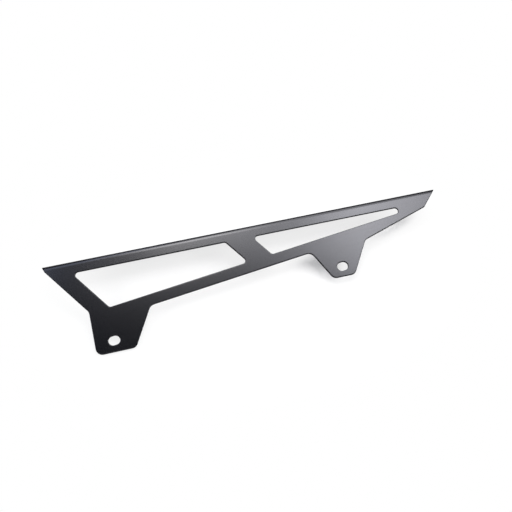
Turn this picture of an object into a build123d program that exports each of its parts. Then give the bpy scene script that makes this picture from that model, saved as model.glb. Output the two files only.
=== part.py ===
from build123d import *
import os
from math import atan, cos, degrees, radians, sin, tan

# Motorcycle chain guard: one aluminium sheet, cut to its outline and folded once along its top edge.
# It lies as it comes to rest, outer face up, on the free edge of its flange and on the foot of its
# front tab. X runs along the fold from front to rear, Y towards the fold and Z up. The origin is on
# the table, under the middle of the guard.

# Sheet and fold, in millimetres
length = 400.0  # front corner of the plate to the rear tip
thickness = 2.0
fold_radius = 3.0  # inside of the bend
flange_depth = 24.0  # outer face to the flange's free edge
edge_radius = 0.25  # every cut edge is deburred

# Slants against the fold, in degrees
front_slant = 55.0  # front end and both sides of the bridge between the windows
nose_slant = 74.0  # front end where it runs on through the bend
tail_slant = 17.1  # lower edge behind the rear tab
rear_slant = 46.5  # rear end

# Plate, with depths measured down the outer face from the outside of the flange
top_band = 12.5  # fold to the top of the windows
front_band = 16.4  # front slant to the front window
bridge = 21.9  # between the windows
lower_band = 10.7  # below the windows
front_depth = 70.0  # lower edge at the front corner
rear_depth = 24.4  # lower edge, drawn on to the rear tip
front_window_length = 150.7  # along the fold
tail_depth = 17.6  # corner where the tail meets the rear end
nose_depth = 5.6  # front corner, where the front slant ends and the nose begins

# Tabs that bolt to the swingarm
front_foot = 32.8  # front corner to the start of the front tab's foot
front_foot_length = 37.1
front_tab_depth = 96.6
front_tab_lean = 1.0  # off square, in degrees
front_tab_slant = 60.0  # its rear edge
rear_foot_length = 22.1
rear_tab_depth = 71.5
rear_tab_front_slant = 64.0
rear_tab_slant = 58.0

# Slotted bolt holes, running parallel to the lower edge. The front one is in the middle of its foot.
slot_width = 9.0
slot_length = 11.0
slot_spacing = 231.5  # along the fold
rear_slot_lead = 11.9  # start of the rear foot to its slot
front_slot_height = 10.9  # foot to slot centre
rear_slot_height = 10.2

# Rounded corners
window_radius = 3.3
foot_radius = 6.5
root_radius = 7.0
tail_radius = 2.0
flange_radius = 4.0

# Ends of the flange. Each slants back from this depth on.
flange_end_depth = 5.6
flange_front_slant = 55.0
flange_rear_slant = 60.0


def run(rise, slant):
    """Length along the fold that an edge at this slant takes for this rise."""
    return rise / tan(radians(slant))


def meet(first, first_angle, second, second_angle):
    """Corner where a line through first meets a line through second, each at its own angle."""
    first_slope, second_slope = tan(radians(first_angle)), tan(radians(second_angle))
    first_rise = first[1] - first_slope * first[0]
    second_rise = second[1] - second_slope * second[0]
    along = (second_rise - first_rise) / (first_slope - second_slope)
    return along, first_rise + first_slope * along


bend_outside = fold_radius + thickness
taper = degrees(atan((front_depth - rear_depth) / length))  # lower edge and bottoms of the windows
nose_reach = run(nose_depth, nose_slant)  # from the front corner forward to the end of the flange

# Lying pose: the flange's free edge and the front foot touch the table together
tilt = degrees(atan((flange_depth - thickness) / (front_tab_depth - thickness)))
tilt_sin, tilt_cos = sin(radians(tilt)), cos(radians(tilt))
fold_height = flange_depth * tilt_cos + thickness * tilt_sin
back_reach = flange_depth * tilt_sin  # from the fold back to the flange's free edge
front_reach = front_tab_depth * tilt_cos  # from the fold forward to the front foot
fold_corner = Vector((nose_reach - length) / 2, (front_reach - back_reach) / 2, fold_height)

# Planes of the sheet, from the sharp corner of the fold over the front corner
along_fold = Vector(1, 0, 0)
outward = Vector(0, -tilt_sin, tilt_cos)
down_plate = Vector(0, -tilt_cos, -tilt_sin)
outer_face = Plane(origin=fold_corner, x_dir=along_fold, z_dir=outward)
flange_face = Plane(origin=fold_corner, x_dir=along_fold, z_dir=down_plate)
section_face = Plane(origin=fold_corner, x_dir=-down_plate, z_dir=along_fold)


# Corners of the plate's outline, as (along the fold, up the plate). Both ends are drawn on past the
# fold, where there is no more sheet.
past_fold = bend_outside
nose_start = (-run(nose_depth + past_fold, nose_slant), past_fold)
front_corner = (0, -nose_depth)
rear_start = (length + run(past_fold, rear_slant), past_fold)
lower_line = (0, -front_depth)
front_slot = front_foot + front_foot_length / 2
rear_slot = front_slot + slot_spacing
rear_foot = rear_slot - rear_slot_lead
front_foot_start = (front_foot, -front_tab_depth)
front_foot_end = (front_foot + front_foot_length, -front_tab_depth)
rear_foot_start = (rear_foot, -rear_tab_depth)
rear_foot_end = (rear_foot + rear_foot_length, -rear_tab_depth)
tail_corner = (length - run(tail_depth, rear_slant), -tail_depth)
knee = meet(front_corner, -front_slant, front_foot_start, 90 - front_tab_lean)
front_root = meet(front_foot_end, front_tab_slant, lower_line, taper)
rear_front_root = meet(rear_foot_start, -rear_tab_front_slant, lower_line, taper)
rear_root = meet(rear_foot_end, rear_tab_slant, tail_corner, tail_slant)

# Windows, between one upper and one lower line
window_top = -top_band
window_line = (0, lower_band / cos(radians(taper)) - front_depth)
front_window = front_band / sin(radians(front_slant)) - run(nose_depth, front_slant)
rear_window = front_window + front_window_length + bridge / sin(radians(front_slant))
window_tip = meet((0, window_top), 0, window_line, taper)


def window_side(start):
    """Top and bottom corner of a window's slanted side, which would meet the fold at start."""
    side = (start, 0)
    return meet(side, -front_slant, (0, window_top), 0), meet(side, -front_slant, window_line, taper)


with BuildPart() as guard:
    with BuildSketch(section_face.offset(nose_start[0])) as section:
        with BuildLine():
            Polyline(
                (-front_tab_depth, 0),
                (0, 0),
                (0, -flange_depth),
                (-thickness, -flange_depth),
                (-thickness, -thickness),
                (-front_tab_depth, -thickness),
                close=True,
            )
        make_face()
        fillet(section.vertices().sort_by_distance((0, 0))[0], bend_outside)
        fillet(section.vertices().sort_by_distance((-thickness, -thickness))[0], fold_radius)
    extrude(amount=rear_start[0] - nose_start[0])

    # Outline of the plate: nose, front slant, front tab, lower edge, rear tab, tail and rear end
    with BuildSketch(outer_face) as outline:
        with BuildLine():
            Polyline(
                nose_start,
                front_corner,
                knee,
                front_foot_start,
                front_foot_end,
                front_root,
                rear_front_root,
                rear_foot_start,
                rear_foot_end,
                rear_root,
                tail_corner,
                rear_start,
                close=True,
            )
        make_face()
        feet = [front_foot_start, front_foot_end, rear_foot_start, rear_foot_end]
        roots = [knee, front_root, rear_front_root, rear_root]
        fillet([outline.vertices().sort_by_distance(point)[0] for point in feet], foot_radius)
        fillet([outline.vertices().sort_by_distance(point)[0] for point in roots], root_radius)
        fillet(outline.vertices().sort_by_distance(tail_corner)[0], tail_radius)
    extrude(amount=-flange_depth - thickness, mode=Mode.INTERSECT)

    # Outline of the flange, seen square on
    with BuildSketch(flange_face) as flange:
        with BuildLine():
            above = flange_end_depth + past_fold
            below = flange_depth - flange_end_depth
            Polyline(
                (-nose_reach - run(above, flange_front_slant), past_fold),
                (-nose_reach + run(below, flange_front_slant), -flange_depth),
                (length - run(below, flange_rear_slant), -flange_depth),
                (length + run(above, flange_rear_slant), past_fold),
                close=True,
            )
        make_face()
        fillet(flange.vertices().group_by(Axis.Y)[0], flange_radius)
    extrude(amount=front_tab_depth + thickness, both=True, mode=Mode.INTERSECT)

    # Two windows and two slotted bolt holes
    with BuildSketch(outer_face) as windows:
        front_top, front_bottom = window_side(front_window)
        far_top, far_bottom = window_side(front_window + front_window_length)
        rear_top, rear_bottom = window_side(rear_window)
        with BuildLine():
            Polyline(front_top, front_bottom, far_bottom, far_top, close=True)
        make_face()
        with BuildLine():
            Polyline(rear_top, rear_bottom, window_tip, close=True)
        make_face()
        fillet(windows.vertices(), window_radius)
        with Locations(
            (front_slot, front_slot_height - front_tab_depth),
            (rear_slot, rear_slot_height - rear_tab_depth),
        ):
            SlotOverall(slot_length, slot_width, rotation=taper)
    extrude(amount=-thickness, mode=Mode.SUBTRACT)

    # Deburr every rim. A rim belongs to one skin of the sheet only, unlike the four lines where a skin
    # runs on into the bend.
    plate_edges = guard.faces().filter_by(Axis((0, 0, 0), outward)).sort_by(SortBy.AREA)[-2:].edges()
    flange_edges = guard.faces().filter_by(Axis((0, 0, 0), down_plate)).sort_by(SortBy.AREA)[-2:].edges()
    bend_edges = guard.faces().filter_by(GeomType.CYLINDER).sort_by(SortBy.AREA)[-2:].edges()
    flat_rims = plate_edges + flange_edges - bend_edges
    bend_rims = bend_edges - plate_edges - flange_edges
    fillet((flat_rims + bend_rims).sort_by(SortBy.LENGTH), edge_radius)

guard.part.label = "chain_guard"
os.makedirs("parts", exist_ok=True)
export_step(guard.part, "parts/chain_guard.step")
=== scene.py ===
from math import cos, radians, sin

import bpy
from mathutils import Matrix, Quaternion, Vector

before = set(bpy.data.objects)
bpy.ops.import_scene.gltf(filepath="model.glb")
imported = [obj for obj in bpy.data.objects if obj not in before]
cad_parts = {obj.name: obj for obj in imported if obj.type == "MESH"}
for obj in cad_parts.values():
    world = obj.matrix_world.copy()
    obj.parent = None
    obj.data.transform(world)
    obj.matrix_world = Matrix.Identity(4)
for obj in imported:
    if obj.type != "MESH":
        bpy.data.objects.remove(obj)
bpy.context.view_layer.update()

# The guard lies on a white table, outer face up. X runs along its fold from front to rear, Y towards
# the fold and Z up. Lengths are in metres.
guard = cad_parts["chain_guard"]

# The sheet as it lies: a point on the sharp corner of the fold, and the ways that the outer faces of
# plate and flange look
SHEET_TILT = radians(13.09)
FOLD = Vector((0, 0.04433, 0.02383))
PLATE_OUT = Vector((0, -sin(SHEET_TILT), cos(SHEET_TILT)))
FLANGE_OUT = Vector((0, cos(SHEET_TILT), sin(SHEET_TILT)))
BEND_OUTSIDE = 0.005  # radius

# Sizes in the finish
RIM_ROUNDING = 0.0012  # tumbling rounds every rim this far in
RIM_WAVER = 0.004  # the painted shade line along a rim gets wider and narrower over this length
ETCH_PIT = 0.0005  # really about 0.05 mm, and drawn coarser so that it shows at all
ROLLING_LENGTH, ROLLING_GAP = 0.04, 0.0008  # rolling lines along the sheet
DYE_CLOUD = 0.035
RELIEF = 0.00001  # height of pits and rolling lines

FACE_ROUGHNESS = (0.23, 0.27)  # lowest and highest, across the rolling lines
CUT_ROUGHNESS = 0.5

# Cosines of how far a surface has turned. The middle of the bend is 45 degrees off plate and flange,
# and still counts in full as face. The rim's waver adds about half its strength to the second pair,
# so the open sheet lies past 1.
CUT_WALL, FULL_FACE = 0.25, 0.7
# The second pair bounds the painted shade line along each rim: full at the first, gone past the second
RIM_SHADE_FULL, OPEN_SHEET = 0.9, 1.012
RIM_WAVER_STRENGTH = 0.04

# The part of the table's white that shines through it, near the guard and past the lamps' reach. The
# reach fades between two ovals round the guard, given by half their length.
NEAR_GLOW, FAR_GLOW = 0.76, 1.0
REACH_START, REACH_END = 0.12, 0.24
REACH_OVAL = 1.7  # length to width

# Patches of painted shadow on the table, where its glow is turned down so that the shadow is deeper:
# middle, turn about Z in degrees and half size
PAINTED_SHADOW_PATCHES = (
    ((0.063, -0.004, 0), 0, (0.026, 0.026, 1)),  # in front of the rear tab
    ((0.150, 0.0235, 0), 18.3, (0.038, 0.0105, 1)),  # along the tail
)
DEEP_GLOW = 0.34  # what the middle of a patch keeps of the table's glow
DEEP_MIDDLE = 0.15  # the part of a patch's half size that is evenly deep

# The table turns up at its far edges, so that a low camera doesn't look past it
TABLE_HALF, TABLE_LIP = 4.0, 0.6

# All softboxes point at this spot on the table, near the middle of the guard
LAMP_AIM = Vector((0.03, 0, 0))
ROOM_LIGHT = 0.04  # strength, where 1 is white

# The photograph's camera looks down on the guard's outer face from the front left
CAMERA_PLACE = Vector((-0.1503, -0.4331, 0.7636))
CAMERA_AIM = Vector((0.0057, 0.0220, 0.0))
CAMERA_ROLL = 4.52  # degrees, right side up
CAMERA_LENS = 63.5  # mm on a 36 mm frame
CAMERA_FAR = 20  # past the table's far corners


def linear(code):
    """Linear colour with full alpha from an sRGB hex value."""
    parts = [int(code[i:i + 2], 16) / 255 for i in (1, 3, 5)]
    return [p / 12.92 if p <= 0.04045 else ((p + 0.055) / 1.055) ** 2.4 for p in parts] + [1.0]


def material(name):
    """New node material, empty, with its node tree."""
    made = bpy.data.materials.new(name)
    made.use_nodes = True
    made.node_tree.nodes.clear()
    return made, made.node_tree


def add(tree, kind, settings=None, **inputs):
    """Adds a node. An input goes by its name, or by its number as in i0, and is a value or a socket."""
    node = tree.nodes.new(kind)
    for key, value in (settings or {}).items():
        setattr(node, key, value)
    for key, value in inputs.items():
        socket = node.inputs[int(key[1:])] if key[1:].isdigit() else node.inputs[key.replace("_", " ")]
        if isinstance(value, bpy.types.NodeSocket):
            tree.links.new(value, socket)
        else:
            socket.default_value = value
    return node


def black_anodised_aluminium():
    """Aluminium sheet, etched to a satin, then anodised and dyed black. The eye sees a soft grey sheen that
    slides over a cool black, and a faint grain along the sheet. Cut walls are duller than the two faces and
    coloured darker as painted shade, and a thin line of painted shade follows every rim."""
    made, tree = material("black_anodised_aluminium")
    place = add(tree, "ShaderNodeTexCoord").outputs["Object"]
    facing = add(tree, "ShaderNodeNewGeometry").outputs["Normal"]

    # 1 on both faces of plate, bend and flange, and 0 on the walls that were cut through the sheet. A
    # cut wall of one leg can look the same way as the faces of the other, so each leg's way counts only
    # as far in from its outer face as the bend reaches.
    legs = []
    for out in (PLATE_OUT, FLANGE_OUT):
        square_on = add(tree, "ShaderNodeVectorMath", {"operation": "DOT_PRODUCT"}, i0=facing, i1=out)
        square_on = add(tree, "ShaderNodeMath", {"operation": "ABSOLUTE"}, i0=square_on.outputs["Value"])
        height = add(tree, "ShaderNodeVectorMath", {"operation": "DOT_PRODUCT"}, i0=place, i1=out)
        in_leg = add(tree, "ShaderNodeMath", {"operation": "GREATER_THAN"},
                     i0=height.outputs["Value"], i1=out.dot(FOLD) - BEND_OUTSIDE)
        leg = add(tree, "ShaderNodeMath", {"operation": "MULTIPLY"},
                  i0=square_on.outputs[0], i1=in_leg.outputs[0])
        legs.append(leg.outputs[0])
    face = add(tree, "ShaderNodeMath", {"operation": "MAXIMUM"}, i0=legs[0], i1=legs[1])
    face = add(tree, "ShaderNodeMapRange", {"interpolation_type": "SMOOTHSTEP"},
               Value=face.outputs[0], From_Min=CUT_WALL, From_Max=FULL_FACE)

    # 1 on the open sheet, falling off over the last millimetre before a rim, where a dark line of painted
    # shade is laid along the rim
    rounded = add(tree, "ShaderNodeBevel", {"samples": 8}, Radius=RIM_ROUNDING).outputs[0]
    flat = add(tree, "ShaderNodeVectorMath", {"operation": "DOT_PRODUCT"}, i0=facing, i1=rounded)
    waver = add(tree, "ShaderNodeTexNoise", Vector=place, Scale=1 / RIM_WAVER, Detail=1.0, Roughness=0.5)
    flat = add(tree, "ShaderNodeMath", {"operation": "MULTIPLY_ADD"},
               i0=waver.outputs[0], i1=RIM_WAVER_STRENGTH, i2=flat.outputs["Value"])
    flat = add(tree, "ShaderNodeMapRange", {"interpolation_type": "SMOOTHSTEP"},
               Value=flat.outputs[0], From_Min=RIM_SHADE_FULL, From_Max=OPEN_SHEET)

    # Etch pits, rolling lines and soft clouds in the dye
    grain = add(tree, "ShaderNodeTexNoise", Vector=place, Scale=1 / ETCH_PIT, Detail=2.0, Roughness=0.6)
    rolled = add(tree, "ShaderNodeMapping", {"vector_type": "POINT"}, Vector=place,
                 Scale=(1 / ROLLING_LENGTH, 1 / ROLLING_GAP, 1 / ROLLING_GAP))
    lines = add(tree, "ShaderNodeTexNoise", Vector=rolled.outputs[0], Scale=1.0, Detail=2.0, Roughness=0.5)
    cloud = add(tree, "ShaderNodeTexNoise", Vector=place, Scale=1 / DYE_CLOUD, Detail=2.0, Roughness=0.5)

    dye = add(tree, "ShaderNodeMix", {"data_type": "RGBA"}, Factor=cloud.outputs[0],
              i6=linear("#4D4D50"), i7=linear("#525255"))
    # Painted shade: the dark colour of the line along every rim
    face_colour_with_rim_shade = add(tree, "ShaderNodeMix", {"data_type": "RGBA"}, Factor=flat.outputs[0],
                      i6=linear("#19191B"), i7=dye.outputs[2])
    # Painted shade: the cut walls are coloured darker than the faces, while their higher roughness below is
    # their own
    colour = add(tree, "ShaderNodeMix", {"data_type": "RGBA"}, Factor=face.outputs[0],
                 i6=linear("#1A1A1C"), i7=face_colour_with_rim_shade.outputs[2])
    smoothest, roughest = FACE_ROUGHNESS
    face_gloss = add(tree, "ShaderNodeMapRange", Value=lines.outputs[0], To_Min=smoothest, To_Max=roughest)
    gloss = add(tree, "ShaderNodeMix", {"data_type": "FLOAT"}, Factor=face.outputs[0],
                i2=CUT_ROUGHNESS, i3=face_gloss.outputs[0])
    relief = add(tree, "ShaderNodeMath", {"operation": "ADD"}, i0=grain.outputs[0], i1=lines.outputs[0])
    bump = add(tree, "ShaderNodeBump", Strength=0.3, Distance=RELIEF,
               Height=relief.outputs[0], Normal=rounded)
    # The specular tint holds the sheen back at shallow angles, where bare metal would turn white
    surface = add(tree, "ShaderNodeBsdfPrincipled", Base_Color=colour.outputs[2], Metallic=1.0,
                  Roughness=gloss.outputs[0], Specular_Tint=linear("#858585"), Normal=bump.outputs[0])
    add(tree, "ShaderNodeOutputMaterial", Surface=surface.outputs[0])
    return made


def white_table():
    """Matt white table with light shining through it. The camera sees it as white as paper in full light
    and a little grey in shadow, and deeper grey in two patches of painted shadow. Past the reach of the
    lamps it shines white by itself."""
    made, tree = material("white_table")
    paint = add(tree, "ShaderNodeBsdfDiffuse", Color=linear("#FAFAFA"))
    shine = add(tree, "ShaderNodeEmission", Color=linear("#FFFFFF"), Strength=1.0)

    place = add(tree, "ShaderNodeTexCoord").outputs["Object"]
    oval = add(tree, "ShaderNodeVectorMath", {"operation": "MULTIPLY"}, i0=place, i1=(1.0, REACH_OVAL, 1.0))
    distance = add(tree, "ShaderNodeVectorMath", {"operation": "LENGTH"}, i0=oval.outputs[0])
    glow = add(tree, "ShaderNodeMapRange", {"interpolation_type": "SMOOTHSTEP"},
               Value=distance.outputs["Value"], From_Min=REACH_START, From_Max=REACH_END,
               To_Min=NEAR_GLOW, To_Max=FAR_GLOW)

    # Painted shadow: the table's glow is turned down in the patches, so the shadow is deepest there
    for middle, turn, half_size in PAINTED_SHADOW_PATCHES:
        patch = add(tree, "ShaderNodeMapping", {"vector_type": "TEXTURE"}, Vector=place,
                    Location=middle, Rotation=(0, 0, radians(turn)), Scale=half_size)
        distance = add(tree, "ShaderNodeVectorMath", {"operation": "LENGTH"}, i0=patch.outputs[0])
        kept = add(tree, "ShaderNodeMapRange", {"interpolation_type": "SMOOTHSTEP"},
                   Value=distance.outputs["Value"], From_Min=DEEP_MIDDLE, From_Max=1.0,
                   To_Min=DEEP_GLOW, To_Max=1.0)
        glow = add(tree, "ShaderNodeMath", {"operation": "MULTIPLY"},
                   i0=glow.outputs[0], i1=kept.outputs[0])

    # The table glows only where it is seen, directly, mirrored in metal or through glass
    path = add(tree, "ShaderNodeLightPath").outputs
    seen = add(tree, "ShaderNodeMath", {"operation": "MAXIMUM"},
               i0=path["Is Camera Ray"], i1=path["Is Glossy Ray"])
    seen = add(tree, "ShaderNodeMath", {"operation": "MAXIMUM"},
               i0=seen.outputs[0], i1=path["Is Transmission Ray"])
    glow = add(tree, "ShaderNodeMath", {"operation": "MULTIPLY"}, i0=seen.outputs[0], i1=glow.outputs[0])
    surface = add(tree, "ShaderNodeMixShader", i0=glow.outputs[0], i1=paint.outputs[0], i2=shine.outputs[0])
    add(tree, "ShaderNodeOutputMaterial", Surface=surface.outputs[0])
    return made


def softbox(name, place, width, depth, power, tint="#FFFFFF"):
    """Rectangular studio softbox, with its power in watts. The guard mirrors it, and the camera doesn't
    see it."""
    data = bpy.data.lights.new(name, "AREA")
    data.shape, data.size, data.size_y, data.energy = "RECTANGLE", width, depth, power
    data.color = linear(tint)[:3]
    lamp = bpy.data.objects.new(name, data)
    lamp.location = place
    lamp.visible_camera = False
    lamp.rotation_euler = (LAMP_AIM - Vector(place)).to_track_quat("-Z", "Y").to_euler()
    bpy.context.scene.collection.objects.link(lamp)


guard.data.materials.clear()
guard.data.materials.append(black_anodised_aluminium())

# Four corners of the table's floor, then the same four at the top of its turned-up edges
table_mesh = bpy.data.meshes.new("table")
table_mesh.from_pydata(
    [(x * TABLE_HALF, y * TABLE_HALF, z)
     for z in (0, TABLE_LIP) for x, y in ((-1, -1), (1, -1), (1, 1), (-1, 1))],
    [],
    [(0, 1, 2, 3)] + [(i, i + 4, (i + 1) % 4 + 4, (i + 1) % 4) for i in range(4)],
)
table = bpy.data.objects.new("table", table_mesh)
table.data.materials.append(white_table())
bpy.context.scene.collection.objects.link(table)

# The plate mirrors the four boxes behind it and to its right. Together they give its sheen, which
# rises from near black at the front tab to grey at the tail.
softbox("back_softbox", (0.15, 0.21, 0.34), 0.44, 0.43, 0.93)
softbox("back_strip", (-0.01, 0.22, 0.40), 0.155, 0.285, 0.54, "#FFFDF6")
softbox("back_low", (0.065, 0.235, 0.30), 0.44, 0.58, 0.49)
softbox("right_softbox", (0.29, 0.095, 0.44), 0.21, 0.215, 0.505)
# The strips hardly show in the plate, and lighten the shadows on the table from both sides
softbox("right_strip", (1.485, -0.24, 0.78), 1.01, 0.15, 15.8)
softbox("left_strip", (-0.59, 0.175, 0.215), 0.525, 0.10, 3.0)
# A little cool light for the nose and the front of the top band
softbox("left_low", (-0.19, 0.155, 0.20), 0.435, 0.125, 0.18, "#DCE6FF")
# Large and dim. It lightens the shadows, and the plate mirrors it when it is seen from above.
softbox("front_softbox", (-0.15, -0.75, 0.85), 1.4, 0.9, 3.2)

# A dim, bluish room keeps the black cool
world = bpy.data.worlds.new("studio")
bpy.context.scene.world = world
world.use_nodes = True
world.node_tree.nodes.clear()
room = add(world.node_tree, "ShaderNodeBackground", Color=linear("#A9BAF6"), Strength=ROOM_LIGHT)
add(world.node_tree, "ShaderNodeOutputWorld", Surface=room.outputs[0])

camera_data = bpy.data.cameras.new("photo_camera")
camera_data.lens = CAMERA_LENS
camera_data.clip_end = CAMERA_FAR
camera = bpy.data.objects.new("photo_camera", camera_data)
camera.location = CAMERA_PLACE
camera.rotation_mode = "QUATERNION"
camera.rotation_quaternion = (
    (CAMERA_AIM - CAMERA_PLACE).to_track_quat("-Z", "Y") @ Quaternion((0, 0, 1), radians(CAMERA_ROLL))
)
bpy.context.scene.collection.objects.link(camera)
bpy.context.scene.camera = camera

bpy.context.scene.view_settings.view_transform = "Standard"
